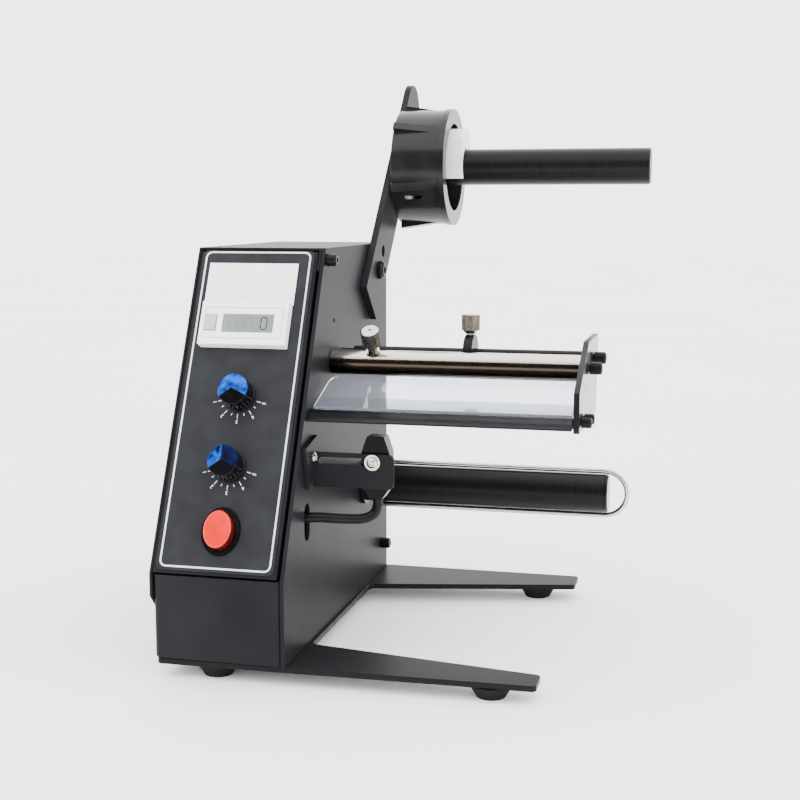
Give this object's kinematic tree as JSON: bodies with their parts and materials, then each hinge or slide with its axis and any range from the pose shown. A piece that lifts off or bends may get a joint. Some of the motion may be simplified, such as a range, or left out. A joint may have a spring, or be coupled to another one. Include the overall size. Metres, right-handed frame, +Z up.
{
  "type": "label dispenser machine",
  "caption": "Motor-driven desktop label dispenser with a sloped control panel, roll rod on a slanted arm, peel plate, take-up spindle, light sensor and two-legged base.",
  "frame": {"origin": "on the ground under the middle of the whole machine's box", "axes": "+Z up, +X along the rods from the housing to their free ends, -Y towards the user, in front of the sloped panel"},
  "size_m": [0.2318, 0.281, 0.316],
  "materials": {
    "black_powder_coat": "semi-gloss black powder coat on steel sheet",
    "black_anodised": "black anodised aluminium",
    "black_plastic": "moulded black plastic, satin to gloss",
    "light_plastic": "moulded light grey plastic",
    "black_oxide_steel": "black oxide on steel screws",
    "black_rubber": "matte black rubber",
    "panel_film": "dark grey polyester film",
    "white_label": "bare white film label",
    "screen": "grey-green liquid crystal display window",
    "grey_key": "moulded grey plastic",
    "red_cap": "glossy red moulded cap",
    "white_nylon": "white nylon",
    "chrome": "hard chrome on a steel bar",
    "nickel_plate": "bright nickel plate on steel",
    "clear_acrylic": "clear acrylic sheet with polished edges",
    "bronze": "sintered bronze",
    "gear_plastic": "cut acetal gear",
    "motor_steel": "zinc-plated steel",
    "board_green": "green solder mask on glass-epoxy board"
  },
  "bodies": {
    "frame": {"arm_screw": "black_oxide_steel", "bar_nut": "nickel_plate", "base_plate": "black_powder_coat", "board_rail_left": "white_nylon", "board_rail_right": "white_nylon", "bracket_screw": "nickel_plate", "chassis_tray": "black_powder_coat", "circuit_board": "board_green", "clear_cover": "clear_acrylic", "control_panel": "black_powder_coat", "counter_case": "light_plastic", "counter_screen": "screen", "cover_shell": "black_powder_coat", "end_plate": "black_anodised", "end_screw_1": "black_oxide_steel", "end_screw_2": "black_oxide_steel", "end_screw_3": "black_oxide_steel", "end_screw_4": "black_oxide_steel", "gear_motor": "motor_steel", "guide_bar": "chrome", "guide_rod": "black_anodised", "info_label": "white_label", "motor_bracket": "motor_steel", "panel_overlay": "panel_film", "peel_plate": "black_anodised", "potentiometer_1": "motor_steel", "potentiometer_2": "motor_steel", "power_inlet": "black_plastic", "rod_bolt": "black_oxide_steel", "rod_nut": "nickel_plate", "rubber_foot_1": "black_rubber", "rubber_foot_2": "black_rubber", "rubber_foot_3": "black_rubber", "rubber_foot_4": "black_rubber", "sensor_bracket": "black_powder_coat", "sensor_lead": "black_rubber", "side_plate": "black_powder_coat", "spindle_bearing": "bronze", "supply_arm": "black_powder_coat", "supply_rod": "black_anodised", "switch_body": "black_plastic", "wall_screw_rear": "black_oxide_steel", "wall_screw_top": "black_oxide_steel"},
    "spindle": {"takeup_spindle": "black_anodised", "spindle_end_cap": "black_plastic", "drive_gear": "gear_plastic"},
    "pinion": {"motor_pinion": "gear_plastic"},
    "clip": {"wire_clip": "nickel_plate"},
    "core": {"core_ring": "black_plastic", "core_bush": "black_plastic"},
    "stop": {"roll_stop": "white_nylon"},
    "collar": {"guide_collar": "black_anodised"},
    "collar_screw": {"collar_thumbscrew": "nickel_plate"},
    "bar_screw": {"bar_thumbscrew": "nickel_plate"},
    "dial_1": {"knob_1": "black_plastic"},
    "dial_2": {"knob_2": "black_plastic"},
    "button": {"power_button": "red_cap"},
    "reset_key": {"counter_reset_key": "grey_key"},
    "sensor": {"sensor_body": "black_plastic", "sensor_screw": "nickel_plate"}
  },
  "joints": [
    {"name": "spindle_spin", "type": "hinge", "parent": "frame", "child": "spindle", "pos_m": [-0.0441, 0.01257, 0.0751], "axis": [1, 0, 0], "continuous": true},
    {"name": "pinion_spin", "type": "hinge", "parent": "frame", "child": "pinion", "pos_m": [-0.0441, 0.01257, 0.1031], "axis": [1, 0, 0], "continuous": true},
    {"name": "clip_slide", "type": "slide", "parent": "spindle", "child": "clip", "axis": [1, 0, 0], "range_m": [0, 0.15]},
    {"name": "core_spin", "type": "hinge", "parent": "frame", "child": "core", "pos_m": [-0.0441, 0.08995, 0.26227], "axis": [1, 0, 0], "continuous": true},
    {"name": "stop_slide", "type": "slide", "parent": "frame", "child": "stop", "axis": [1, 0, 0], "range_m": [0, 0.113]},
    {"name": "collar_slide", "type": "slide", "parent": "frame", "child": "collar", "axis": [1, 0, 0], "range_m": [-0.062, 0.058]},
    {"name": "collar_screw_turn", "type": "hinge", "parent": "collar", "child": "collar_screw", "pos_m": [0.0283, -0.03043, 0.1577], "axis": [0, 0, 1], "range_deg": [0, 360]},
    {"name": "bar_screw_turn", "type": "hinge", "parent": "frame", "child": "bar_screw", "pos_m": [-0.0201, -0.05213, 0.1545], "axis": [0, -0.5299, 0.848], "range_deg": [0, 360]},
    {"name": "dial_1_turn", "type": "hinge", "parent": "frame", "child": "dial_1", "pos_m": [-0.0801, -0.09849, 0.14013], "axis": [0, -0.9032, 0.4293], "range_deg": [-150, 150]},
    {"name": "dial_2_turn", "type": "hinge", "parent": "frame", "child": "dial_2", "pos_m": [-0.0801, -0.11472, 0.10599], "axis": [0, -0.9032, 0.4293], "range_deg": [-150, 150]},
    {"name": "button_press", "type": "slide", "parent": "frame", "child": "button", "axis": [0, 0.9032, -0.4293], "range_m": [0, 0.003], "stiffness_N_per_m": 400, "springref_m": -0.001},
    {"name": "reset_key_press", "type": "slide", "parent": "frame", "child": "reset_key", "axis": [0, 0.9032, -0.4293], "range_m": [0, 0.0008], "stiffness_N_per_m": 300, "springref_m": -0.0005},
    {"name": "sensor_slide", "type": "slide", "parent": "frame", "child": "sensor", "axis": [1, 0, 0], "range_m": [-0.024, 0.0015], "deforming": ["sensor_lead"]}
  ],
  "couplings": [
    {"joint": "pinion_spin", "follows": "spindle_spin", "ratio": -2.5}
  ]
}
